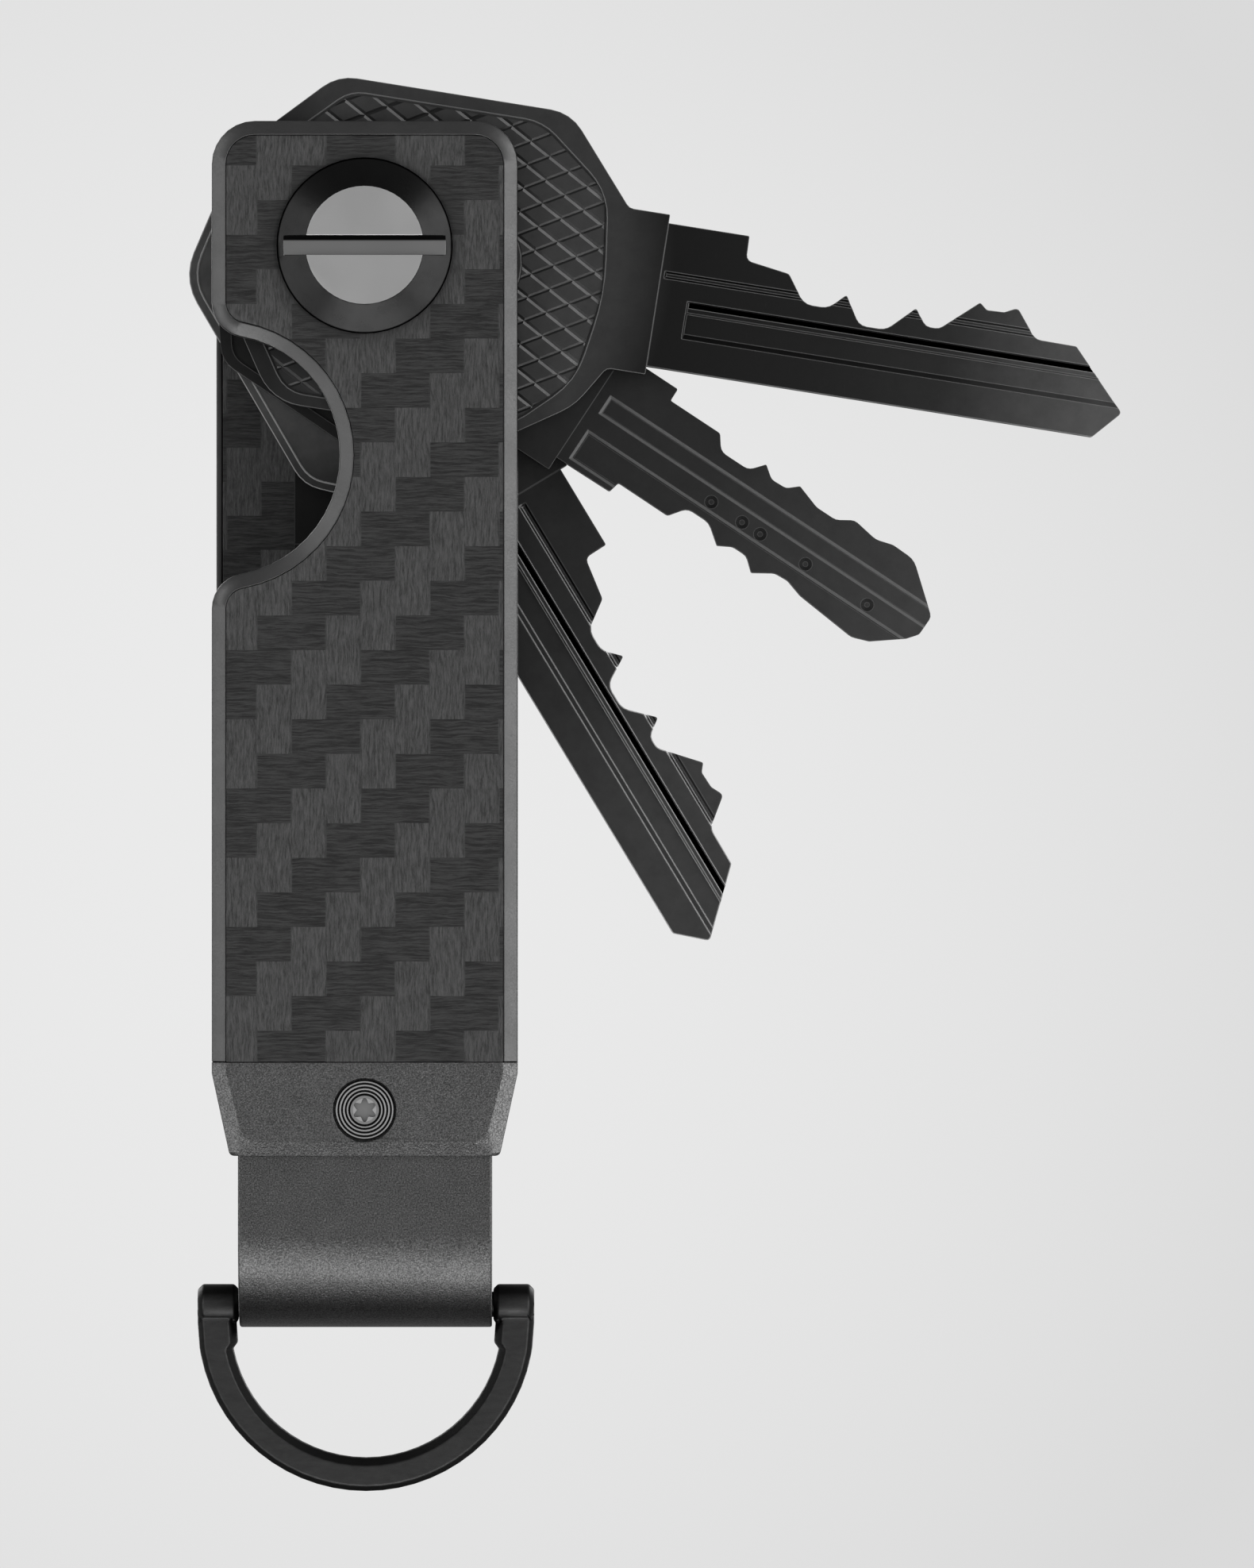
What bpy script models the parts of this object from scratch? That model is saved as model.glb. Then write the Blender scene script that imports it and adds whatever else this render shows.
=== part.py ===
"""Key organiser: two carbon plates in metal rims, hinged keys on one post, and a D-ring on a bent strap.

Units are metres, built from millimetres. X is the width, Z runs up the case and +Y points to the rear.
The origin is on the post's axis, at the flat rear end of the post's head.
"""

import math

import bmesh
import bpy
from mathutils import Matrix, Vector

MM = 0.001

# Driving dimensions of the case, in millimetres.
CASE_HALF_WIDTH = 11.35
CASE_TOP = 9.27
SEAM_Z = -60.53
BLOCK_BOTTOM = -67.47
HALF_DEPTH = 8.0
PLATE_THICKNESS = 2.0
HEAD_PROUD = 1.2
GAP = 0.03

# The post's rear end is at y = 0, so the middle of the case lies in front of it.
MID_Y = -(HALF_DEPTH + HEAD_PROUD)
CAVITY_HALF = HALF_DEPTH - PLATE_THICKNESS

# Plate outline and the rim that frames it.
CORNER_RADIUS = 3.2
SCALLOP_CENTRE = (-10.79, -15.53)
SCALLOP_RADIUS = 8.94
SCALLOP_FILLET = 2.6
RIM_WIDTH = 1.05
RIM_CHAMFER_DEPTH = 0.45
RIM_BACK_WIDTH = 0.45
RIM_STEP = 1.0

# Post, screw and washers.
POST_RADIUS = 2.8
POST_BORE = 1.95
POST_FLAT = 2.3
SHANK_RADIUS = 1.9
HEAD_RADIUS = 6.53
HEAD_FACE_RADIUS = 4.45
HEAD_RIM_HEIGHT = 0.25
COIN_SLOT_WIDTH = 1.45
COIN_SLOT_DEPTH = 0.73
WASHER_RADIUS = 6.5
WASHER_THICKNESS = 0.5
RUNNING_GAP = 0.07

# Keys.
BOW_THICKNESS = 2.2
BLADE_THICKNESS = 2.0
KEY_HOLE_RADIUS = 2.88
KEY_ANGLES = (9.03, 33.4, 58.9, 90.0)

# Strap, its slot in the end block, and its screws.
STRAP_HALF_WIDTH = 9.42
STRAP_OUTER = 7.25
STRAP_THICKNESS = 0.65
STRAP_TOP = -61.2
STRAP_BEND_Z = -73.25
TONGUE_THICKNESS = 0.55
TONGUE_BOTTOM = -66.6
STRAP_SCREW_Z = -64.06
STRAP_SCREW_HEAD = 2.24
STRAP_SCREW_SHANK = 1.0
LIP_TOP = -58.4

# D-ring and its bar.
BAR_Z = -78.8
BAR_RADIUS = 0.95
BOSS_RADIUS = 1.52
BOSS_INNER = 9.52
RING_OUTER = 12.58
RING_INNER = 10.1
RING_ARM_INNER = 9.68
RING_CENTRE_Z = -80.15
RING_THICKNESS = 2.3
RING_CHAMFER = 0.42
RING_INNER_CHAMFER = 0.6

# Corners (along the key, across it, corner radius) of the blade that three of the keys share.
# They run from the neck along the cuts to the tip and back along the straight edge.
HOUSE_BLADE = (
    (17.0, 5.17, 0), (28.1, 5.17, 0.1), (28.15, 3.35, 0.5), (31.45, 2.85, 0.4), (32.9, 0.8, 1.2),
    (34.7, 0.8, 1.3), (35.92, 1.98, 0.12), (37.2, -0.12, 1.0), (39.2, -0.12, 1.3), (41.18, 1.82, 0.14),
    (42.1, 0.58, 0.7), (43.1, 0.58, 0.8), (45.82, 2.98, 0.14), (46.4, 2.5, 0.3), (47.7, 2.55, 0.4),
    (48.65, 3.02, 0.35), (50.3, 0.92, 0.9), (53.4, 0.88, 0.25), (57.5, -3.5, 0.3), (55.6, -5.58, 0.25),
    (17.0, -5.58, 0),
)
# The same for the double-sided key.
DIMPLE_BLADE = (
    (17.0, 3.97, 0), (25.2, 3.97, 0.1), (25.22, 2.96, 0.12), (29.65, 2.96, 0.3), (30.45, 1.86, 0.9),
    (32.9, 1.86, 0.9), (33.8, 2.92, 0.1), (34.75, 2.2, 0.7), (36.0, 2.25, 0.6), (36.8, 2.95, 0.14),
    (38.7, 2.32, 1.2), (40.4, 2.32, 1.0), (41.6, 3.08, 0.8), (43.7, 2.74, 1.4), (45.0, 3.12, 1.2),
    (46.9, 3.06, 1.6), (50.35, 0.2, 0.6), (50.3, -1.4, 0.4), (49.7, -2.15, 0.3), (47.5, -3.85, 0.6),
    (46.2, -4.32, 1.2), (41.3, -3.86, 1.4), (39.9, -3.44, 0.8), (38.8, -3.5, 0.9), (37.3, -4.45, 0.15),
    (36.3, -3.58, 0.8), (35.1, -3.58, 0.8), (34.05, -4.16, 0.12), (32.6, -3.05, 1.2), (30.7, -3.05, 0.9),
    (29.75, -4.32, 0.3), (25.35, -4.3, 0.15), (25.15, -5.2, 0.15), (17.0, -5.3, 0),
)
KNURLED_BOW = (
    (22.02, 5.95, 0.08), (18.95, 5.95, 0.7), (13.55, 12.28, 3.3), (-4.0, 12.3, 3.4), (-10.3, 5.9, 3.0),
    (-10.0, -4.8, 3.0), (-5.1, -12.4, 4.0), (12.4, -12.35, 4.0), (17.2, -9.2, 5.0), (19.15, -6.06, 0.6),
    (22.05, -6.06, 0.08),
)
KNURLED_PANEL = (
    (11.6, 11.3, 4.0), (-2.9, 11.3, 2.8), (-8.3, 6.0, 2.0), (-8.1, -5.6, 2.0), (-4.2, -11.55, 2.6),
    (12.6, -11.55, 4.0), (17.0, -7.4, 6.0), (18.15, -0.7, 18.0), (17.2, 6.9, 5.0),
)
PLAIN_BOW = (
    (21.5, 4.6, 0.08), (18.4, 4.9, 0.8), (12.6, 11.0, 3.0), (-4.4, 11.0, 3.0), (-10.4, 5.0, 3.0),
    (-11.0, -4.9, 3.0), (-5.3, -12.85, 4.2), (12.6, -13.1, 3.0), (18.3, -7.3, 0.8), (21.5, -7.2, 0.08),
)
PLAIN_PANEL = (
    (17.6, 4.3, 0.8), (12.3, 10.4, 2.6), (-4.1, 10.4, 2.6), (-9.8, 4.7, 2.6), (-10.4, -4.8, 2.6),
    (-5.0, -12.2, 3.7), (12.4, -12.5, 2.6), (17.6, -7.0, 0.8),
)
FRAMED_BOW = (
    (20.43, 4.9, 0.08), (17.4, 4.9, 0.8), (12.4, 10.9, 3.0), (-3.2, 10.9, 2.2), (-9.6, 4.8, 2.0),
    (-9.8, -5.6, 2.0), (-4.4, -12.9, 2.2), (11.9, -13.1, 3.0), (17.2, -6.2, 0.8), (20.43, -6.2, 0.08),
)
FRAMED_PANEL = (
    (11.6, 9.9, 2.4), (-2.8, 9.9, 1.8), (-8.6, 4.4, 1.6), (-8.8, -5.2, 1.6), (-3.9, -12.2, 1.8),
    (11.3, -12.3, 2.4), (15.8, -5.6, 1.6), (15.8, 4.6, 1.6),
)
ROUND_BOW_RADIUS = 10.2
ROUND_BOW_CENTRE = 0.6
BLADE_DROP = {"key_1": 0.14, "key_2": 0.12, "key_3": -1.16, "key_4": 0.15}
DIMPLES_ALONG = (31.92, 34.67, 36.28, 40.33, 45.84)
DIMPLE_ACROSS = -1.56
DIMPLE_RADIUS = 0.5
DIMPLE_FLOOR_RADIUS = 0.2
DIMPLE_DEPTH = 0.32
# Channels in the blades: low edge, high edge, start along the key, depth, slants of both walls, face.
HOUSE_GROOVES = (
    (1.06, 1.62, 22.3, 0.3, 0.16, 0.16, 1),
    (-3.18, -1.2, 24.3, 0.34, 0.38, 0.1, 1),
    (-1.2, -0.36, 24.3, 0.18, 0.0, 0.1, 1),
    (-0.84, -0.44, 24.45, 0.68, 0.02, 0.02, 1),
    (-0.2, 0.5, 23.2, 0.45, 0.1, 0.1, -1),
    (-4.4, -3.5, 23.2, 0.45, 0.1, 0.1, -1),
)
DIMPLE_GROOVES = (
    (-0.8, 0.82, 21.25, 0.3, 0.24, 0.24, 1),
    (-4.8, -2.25, 21.25, 0.34, 0.26, 0.26, 1),
    (-2.1, -1.0, 21.25, 0.35, 0.15, 0.15, -1),
)
ARC_SAGITTA = 0.02
ROUND_SEGMENTS = 40


def clear_scene():
    for obj in list(bpy.data.objects):
        bpy.data.objects.remove(obj, do_unlink=True)


def new_collection(name):
    collection = bpy.data.collections.new(name)
    bpy.context.scene.collection.children.link(collection)
    return collection


def material(name, colour, roughness, metallic):
    made = bpy.data.materials.new(name)
    made.use_nodes = True
    shader = made.node_tree.nodes["Principled BSDF"]
    shader.inputs["Base Color"].default_value = (*colour, 1)
    shader.inputs["Roughness"].default_value = roughness
    shader.inputs["Metallic"].default_value = metallic
    return made


def arc(centre, radius, start, end, steps=None):
    """Points of an arc from one angle to another, in radians."""
    if steps is None:
        step = 2 * math.acos(1 - min(0.1, ARC_SAGITTA / radius))
        steps = max(2, math.ceil(abs(end - start) / step))
    angles = [start + (end - start) * i / steps for i in range(steps + 1)]
    return [(centre[0] + radius * math.cos(a), centre[1] + radius * math.sin(a)) for a in angles]


def circle(radius, centre=(0, 0), segments=ROUND_SEGMENTS):
    turns = [2 * math.pi * i / segments for i in range(segments)]
    return [(centre[0] + radius * math.cos(a), centre[1] + radius * math.sin(a)) for a in turns]


def rounded(corners, steps=None):
    """Points of a polygon whose corners (x, y, radius) are rounded by arcs."""
    points = []
    count = len(corners)
    for i, (x, y, radius) in enumerate(corners):
        if radius == 0:
            points.append((x, y))
            continue
        here = Vector((x, y))
        before = Vector(corners[i - 1][:2]) - here
        after = Vector(corners[(i + 1) % count][:2]) - here
        opening = before.angle(after)
        reach = min(radius / math.tan(opening / 2), 0.49 * before.length, 0.49 * after.length)
        real_radius = reach * math.tan(opening / 2)
        middle = (before.normalized() + after.normalized()).normalized()
        centre = here + middle * (real_radius / math.sin(opening / 2))
        first = here + before.normalized() * reach - centre
        last = here + after.normalized() * reach - centre
        start = math.atan2(first.y, first.x)
        turn = math.atan2(first.x * last.y - first.y * last.x, first.dot(last))
        points += arc(centre, real_radius, start, start + turn, steps)
    return points


def mesh_object(name, mesh, collection):
    obj = bpy.data.objects.new(name, mesh)
    collection.objects.link(obj)
    return obj


def flat_solid(name, outlines, thickness, collection, middle=0.0):
    """A plate in the XY plane of its object, centred on z = middle, from closed outlines in millimetres."""
    curve = bpy.data.curves.new(name, "CURVE")
    curve.dimensions = "2D"
    curve.fill_mode = "BOTH"
    curve.extrude = thickness * MM / 2
    for outline in outlines:
        spline = curve.splines.new("POLY")
        spline.points.add(len(outline) - 1)
        for point, (x, y) in zip(spline.points, outline):
            point.co = (x * MM, y * MM, 0, 1)
        spline.use_cyclic_u = True
    guide = mesh_object(name + "_guide", curve, collection)
    bpy.context.view_layer.update()
    mesh = bpy.data.meshes.new_from_object(guide.evaluated_get(bpy.context.evaluated_depsgraph_get()))
    bpy.data.objects.remove(guide)
    bpy.data.curves.remove(curve)
    shape = bmesh.new()
    shape.from_mesh(mesh)
    bmesh.ops.remove_doubles(shape, verts=shape.verts, dist=1e-7)
    bmesh.ops.translate(shape, verts=shape.verts, vec=(0, 0, middle * MM))
    bmesh.ops.recalc_face_normals(shape, faces=shape.faces)
    shape.to_mesh(mesh)
    shape.free()
    return mesh_object(name, mesh, collection)


def cylinder(name, radius, low, high, collection, segments=ROUND_SEGMENTS):
    """A cylinder along z, from low to high."""
    shape = bmesh.new()
    bmesh.ops.create_cone(
        shape, cap_ends=True, segments=segments, radius1=radius * MM, radius2=radius * MM,
        depth=(high - low) * MM, matrix=Matrix.Translation((0, 0, (low + high) * MM / 2)),
    )
    mesh = bpy.data.meshes.new(name)
    shape.to_mesh(mesh)
    shape.free()
    return mesh_object(name, mesh, collection)


def box(name, low, high, collection):
    shape = bmesh.new()
    bmesh.ops.create_cube(shape, size=1)
    for vertex in shape.verts:
        for axis in range(3):
            vertex.co[axis] = (low[axis] if vertex.co[axis] < 0 else high[axis]) * MM
    mesh = bpy.data.meshes.new(name)
    shape.to_mesh(mesh)
    shape.free()
    return mesh_object(name, mesh, collection)


def skin(name, rings, collection):
    """A solid through closed rings of points, all with the same count, capped at both ends."""
    shape = bmesh.new()
    rows = [[shape.verts.new([c * MM for c in point]) for point in ring] for ring in rings]
    for row, following in zip(rows, rows[1:]):
        for i in range(len(row)):
            j = (i + 1) % len(row)
            shape.faces.new((row[i], row[j], following[j], following[i]))
    shape.faces.new(rows[0])
    shape.faces.new(rows[-1])
    bmesh.ops.recalc_face_normals(shape, faces=shape.faces)
    mesh = bpy.data.meshes.new(name)
    shape.to_mesh(mesh)
    shape.free()
    return mesh_object(name, mesh, collection)


def turned(name, profile, collection, segments=48):
    """A solid of revolution about z: the profile is (radius, z) points, top to bottom on its outer side."""
    mesh = bpy.data.meshes.new(name)
    points = [(radius * MM, 0, z * MM) for radius, z in profile]
    mesh.from_pydata(points, [(i, i + 1) for i in range(len(points) - 1)], [])
    obj = mesh_object(name, mesh, collection)
    screw = obj.modifiers.new("turn", "SCREW")
    screw.steps = segments
    screw.render_steps = segments
    screw.use_merge_vertices = True
    screw.merge_threshold = 1e-6
    bake(obj)
    return obj


def bake(obj):
    """Replaces the object's mesh by its evaluated one, so that copies can share it."""
    bpy.context.view_layer.update()
    graph = bpy.context.evaluated_depsgraph_get()
    mesh = bpy.data.meshes.new_from_object(obj.evaluated_get(graph))
    obj.modifiers.clear()
    obj.data = mesh


def combine(obj, tools, operation):
    """Joins the tools to the object (UNION) or cuts them from it (DIFFERENCE), then removes them."""
    for tool in tools:
        modifier = obj.modifiers.new(operation.lower(), "BOOLEAN")
        modifier.operation = operation
        modifier.solver = "EXACT"
        modifier.object = tool
    bake(obj)
    for tool in tools:
        bpy.data.objects.remove(tool, do_unlink=True)


def plate_outline(inset, bottom):
    """The plate's outline moved in by inset, from the lower right corner round to the lower left one."""
    side = CASE_HALF_WIDTH - inset
    top = CASE_TOP - inset
    corner = CORNER_RADIUS - inset
    fillet = SCALLOP_FILLET - inset
    scallop = SCALLOP_RADIUS + inset
    across = -side + fillet - SCALLOP_CENTRE[0]
    rise = math.sqrt((scallop + fillet) ** 2 - across**2)
    touch = math.atan2(rise, across)
    points = [(side, bottom)]
    points += arc((side - corner, top - corner), corner, 0, math.pi / 2, 7)
    points += arc((corner - side, top - corner), corner, math.pi / 2, math.pi, 7)
    upper = (fillet - side, SCALLOP_CENTRE[1] + rise)
    lower = (fillet - side, SCALLOP_CENTRE[1] - rise)
    points += arc(upper, fillet, math.pi, math.pi + touch, 7)
    points += arc(SCALLOP_CENTRE, scallop, touch, -touch, 22)[1:-1]
    points += arc(lower, fillet, math.pi - touch, math.pi, 7)
    points.append((-side, bottom))
    return points


def build_rim(collection):
    """An L-section frame with a chamfered front edge. Local z runs to the front."""
    front = HALF_DEPTH
    back = CAVITY_HALF
    section = (
        (0, back), (0, front - RIM_CHAMFER_DEPTH), (RIM_WIDTH, front),
        (RIM_WIDTH, back + RIM_STEP), (RIM_BACK_WIDTH, back + RIM_STEP), (RIM_BACK_WIDTH, back),
    )
    paths = [plate_outline(inset, SEAM_Z + GAP) for inset, _ in section]
    rings = []
    for station in zip(*paths):
        rings.append([(x, y, level) for (x, y), (_, level) in zip(station, section)])
    return skin("front_rim", rings, collection)


def build_panel(collection):
    """The carbon plate: a stepped edge under the rim's lip, the post's hole, and a tongue for the end block."""
    bottom = SEAM_Z + GAP
    front_edge = plate_outline(RIM_WIDTH + GAP, bottom)
    back_edge = plate_outline(RIM_BACK_WIDTH + GAP, bottom)
    back_depth = RIM_STEP - GAP
    middle = HALF_DEPTH - PLATE_THICKNESS / 2
    panel = flat_solid("front_panel", [front_edge], PLATE_THICKNESS, collection, middle)
    ledge = flat_solid("ledge", [back_edge], back_depth, collection, CAVITY_HALF + back_depth / 2)
    tongue_wide = STRAP_HALF_WIDTH - 0.1
    tongue = box(
        "tongue", (-tongue_wide, TONGUE_BOTTOM, CAVITY_HALF),
        (tongue_wide, bottom + 1, CAVITY_HALF + TONGUE_THICKNESS), collection,
    )
    combine(panel, [ledge, tongue], "UNION")
    reach = HALF_DEPTH + 1
    flat = POST_FLAT + 0.05
    radius = POST_RADIUS + 0.06
    angle = math.asin(flat / radius)
    sides = arc((0, 0), radius, -angle, angle) + arc((0, 0), radius, math.pi - angle, math.pi + angle)
    post_hole = flat_solid("post_hole", [sides], 2 * reach, collection)
    screw_hole = cylinder("screw_hole", 1.2, 0, reach, collection, 24)
    screw_hole.location.y = STRAP_SCREW_Z * MM
    combine(panel, [post_hole, screw_hole], "DIFFERENCE")
    return panel


def build_end_block(collection):
    """A tapered block with chamfered faces, a lip between the plates, and a slot for each strap leaf."""
    faces = ((HALF_DEPTH - 0.45, 0.0, 0.0), (HALF_DEPTH - 0.2, 0.6, 0.0), (HALF_DEPTH, 1.08, 0.98))
    levels = [(-level, side, rise) for level, side, rise in reversed(faces)] + list(faces)
    rings = []
    for level, side, rise in levels:
        base = BLOCK_BOTTOM + rise
        soft = 0.4 + rise
        low = 10.02 - side
        corners = (
            (CASE_HALF_WIDTH - side, SEAM_Z, 0), (CASE_HALF_WIDTH - side, SEAM_Z - 0.82, 0),
            (low, base, soft), (-low, base, soft),
            (side - CASE_HALF_WIDTH, SEAM_Z - 0.82, 0), (side - CASE_HALF_WIDTH, SEAM_Z, 0),
        )
        rings.append([(x, y, level) for x, y in rounded(corners, 5)])
    block = skin("end_block", rings, collection)
    lip_half = CAVITY_HALF - GAP
    lip = box("lip", (-10.4, SEAM_Z - 2, -lip_half), (10.4, LIP_TOP, lip_half), collection)
    combine(block, [lip], "UNION")
    wide = STRAP_HALF_WIDTH + 0.06
    cuts = []
    for side in (1, -1):
        inner = side * (CAVITY_HALF - 0.02)
        outer = side * (STRAP_OUTER + 0.04)
        low = min(inner, outer)
        high = max(inner, outer)
        cuts.append(box("strap_slot", (-wide, BLOCK_BOTTOM - 1, low), (wide, SEAM_Z + 0.4, high), collection))
        for radius, depth in ((STRAP_SCREW_HEAD + 0.12, 7.0), (STRAP_SCREW_SHANK + 0.04, 2.6)):
            ends = sorted((side * depth, side * (HALF_DEPTH + 1)))
            hole = cylinder("screw_hole", radius, *ends, collection, 32)
            hole.location.y = STRAP_SCREW_Z * MM
            cuts.append(hole)
    combine(block, cuts, "DIFFERENCE")
    return block


def build_strap(collection):
    """A strip bent into a U: both leaves go up into the end block, and the bend holds the bar."""
    outer = STRAP_OUTER
    inner = STRAP_OUTER - STRAP_THICKNESS
    turns = [math.pi * i / 20 for i in range(21)]
    line = [(math.cos(a), math.sin(a)) for a in turns]
    rings = []
    for height, sections in ((STRAP_TOP, line[:1]), (STRAP_BEND_Z, line), (STRAP_TOP, line[-1:])):
        for across, down in sections:
            ring = []
            for x, radius in ((1, outer), (1, inner), (-1, inner), (-1, outer)):
                ring.append((x * STRAP_HALF_WIDTH, height - radius * down, radius * across))
            rings.append(ring)
    strap = skin("strap", rings, collection)
    hole = cylinder("strap_hole", 1.2, -HALF_DEPTH - 1, HALF_DEPTH + 1, collection, 24)
    hole.location.y = STRAP_SCREW_Z * MM
    combine(strap, [hole], "DIFFERENCE")
    return strap


def build_strap_screw(collection):
    """A flat head with turned rings and a six-lobed socket, on a thin shank. Local z runs to the front."""
    under = STRAP_OUTER + GAP
    top = HALF_DEPTH - 0.06
    profile = [(0, top - 0.05), (1.02, top - 0.05), (1.06, top)]
    for ring in range(4):
        start = 1.06 + 0.28 * ring
        profile += [(start + 0.09, top), (start + 0.19, top - 0.17), (start + 0.28, top)]
    profile += [(STRAP_SCREW_HEAD, top - 0.03), (STRAP_SCREW_HEAD, under), (STRAP_SCREW_SHANK, under)]
    profile += [(STRAP_SCREW_SHANK, 2.9), (STRAP_SCREW_SHANK - 0.2, 2.7), (0, 2.7)]
    screw = turned("strap_screw_front", profile, collection, 24)
    lobes = []
    for i in range(24):
        angle = 2 * math.pi * i / 24
        radius = 0.7 + 0.18 * math.cos(6 * angle)
        lobes.append((radius * math.sin(angle), radius * math.cos(angle)))
    socket = flat_solid("socket", [lobes], 1.0, collection, top - 0.05)
    combine(screw, [socket], "DIFFERENCE")
    return screw


def build_d_ring(collection):
    """A chamfered half ring, thicker inwards at its arms, whose two round bosses carry the bar."""
    deep = RING_THICKNESS / 2
    cut = RING_CHAMFER
    bite = RING_INNER_CHAMFER
    arm_end = math.radians(8.6)
    first = math.radians(11)
    arm = [(0, BAR_Z, RING_ARM_INNER), (0, RING_CENTRE_Z, RING_ARM_INNER), (arm_end, RING_CENTRE_Z, RING_ARM_INNER)]
    bend = [(first + (math.pi - 2 * first) * i / 28, RING_CENTRE_Z, RING_INNER) for i in range(29)]
    mirrored = [(math.pi - angle, height, inner) for angle, height, inner in reversed(arm)]
    rings = []
    for angle, height, inner in arm + bend + mirrored:
        section = [
            (RING_OUTER, deep - cut), (RING_OUTER - cut, deep), (inner + bite, deep), (inner, deep - bite),
            (inner, bite - deep), (inner + bite, -deep), (RING_OUTER - cut, -deep), (RING_OUTER, cut - deep),
        ]
        rings.append([(r * math.cos(angle), height - r * math.sin(angle), z) for r, z in section])
    ring = skin("d_ring", rings, collection)
    joined = []
    for side in (1, -1):
        boss = turned(
            "boss",
            [(0, RING_OUTER), (BOSS_RADIUS - 0.4, RING_OUTER), (BOSS_RADIUS, RING_OUTER - 0.4),
             (BOSS_RADIUS, BOSS_INNER + 0.35), (BOSS_RADIUS - 0.35, BOSS_INNER), (0, BOSS_INNER)],
            collection, 32,
        )
        boss.rotation_euler = (0, side * math.pi / 2, 0)
        boss.location.y = BAR_Z * MM
        joined.append(boss)
    combine(ring, joined, "UNION")
    bore = cylinder("bar_bore", BAR_RADIUS + 0.03, -12.0, 12.0, collection, 32)
    bore.rotation_euler = (0, math.pi / 2, 0)
    bore.location.y = BAR_Z * MM
    combine(ring, [bore], "DIFFERENCE")
    return ring


def build_hinge_bar(collection):
    bar = cylinder("hinge_bar", BAR_RADIUS, -11.9, 11.9, collection, 32)
    bar.rotation_euler = (0, math.pi / 2, 0)
    bar.location.y = BAR_Z * MM
    return bar


def head_profile(face):
    """The part of a turned profile that the post and the screw share: a low cone with a flat face."""
    return [
        (0, face), (HEAD_FACE_RADIUS - 0.08, face), (HEAD_FACE_RADIUS, face - 0.03),
        (HEAD_RADIUS, face - HEAD_PROUD + HEAD_RIM_HEIGHT), (HEAD_RADIUS, face - HEAD_PROUD + GAP),
    ]


def build_post(collection):
    """The barrel that the keys turn on, with a head at the rear. Local z runs from the middle to the rear."""
    face = HALF_DEPTH + HEAD_PROUD
    front_end = 0.4 - HALF_DEPTH
    profile = head_profile(face) + [(POST_RADIUS, HALF_DEPTH + GAP), (POST_RADIUS, front_end)]
    profile += [(POST_BORE, front_end), (POST_BORE, HALF_DEPTH - 3), (0, HALF_DEPTH - 3)]
    post = turned("pivot_post", profile, collection)
    cuts = []
    for low, high in ((CAVITY_HALF, HALF_DEPTH + GAP / 2), (front_end - 1, -CAVITY_HALF)):
        for side in (1, -1):
            ends = sorted((side * POST_FLAT, side * 4))
            cuts.append(box("flat", (-4, ends[0], low), (4, ends[1], high), collection))
    combine(post, cuts, "DIFFERENCE")
    return post


def build_pivot_screw(collection):
    """The coin-slotted screw. Local z runs from the middle of the case to the front."""
    face = HALF_DEPTH + HEAD_PROUD
    tip = 5.2 - HALF_DEPTH
    profile = head_profile(face) + [(SHANK_RADIUS, HALF_DEPTH + GAP), (SHANK_RADIUS, tip + 0.3)]
    profile += [(SHANK_RADIUS - 0.3, tip), (0, tip)]
    screw = turned("pivot_screw", profile, collection)
    half = COIN_SLOT_WIDTH / 2
    slot = box("coin_slot", (-9, -half, face - COIN_SLOT_DEPTH), (9, half, face + 1), collection)
    combine(screw, [slot], "DIFFERENCE")
    return screw


def build_washer(collection):
    half = WASHER_THICKNESS / 2
    washer = cylinder("washer", WASHER_RADIUS, -half, half, collection)
    combine(washer, [cylinder("washer_hole", POST_RADIUS + 0.1, -1, 1, collection)], "DIFFERENCE")
    return washer


def groove_cutters(grooves, drop, collection):
    """Slant-walled channels (low edge, high edge, start, depth, two slants, side) in the faces of a blade."""
    cutters = []
    half = BLADE_THICKNESS / 2
    for low, high, start, depth, low_slant, high_slant, side in grooves:
        rings = []
        for level, inset in ((half + 1, 0), (half, 0), (half - depth, 1)):
            ends = (low + drop + inset * low_slant, high + drop - inset * high_slant)
            first = start + inset * high_slant
            corners = ((first, ends[0]), (60, ends[0]), (60, ends[1]), (first, ends[1]))
            rings.append([(x, y, side * level) for x, y in corners])
        cutters.append(skin("groove", rings, collection))
    return cutters


def recess_cutters(panel, boss, depth, collection):
    """Shallow pockets in both faces of a bow, with an island left standing round the ring hole."""
    half = BOW_THICKNESS / 2
    outlines = [rounded(panel), boss]
    return [flat_solid("recess", outlines, 2 * depth, collection, side * half) for side in (1, -1)]


def stadium(radius, length):
    """An outline round the hole and along the key, with round ends."""
    right = arc((length, 0), radius, -math.pi / 2, math.pi / 2)
    return right + arc((0, 0), radius, math.pi / 2, 3 * math.pi / 2)


def make_key(name, bow, blade, cutters, collection):
    """A key along +x of its object, with its ring hole at the origin."""
    key = flat_solid(name, [bow], BOW_THICKNESS, collection)
    combine(key, [flat_solid("blade", [blade], BLADE_THICKNESS, collection)], "UNION")
    hole = cylinder("ring_hole", KEY_HOLE_RADIUS, -3, 3, collection, 48)
    combine(key, cutters + [hole], "DIFFERENCE")
    return key


def shifted(corners, drop):
    return [(x, y + drop, radius) for x, y, radius in corners]


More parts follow.
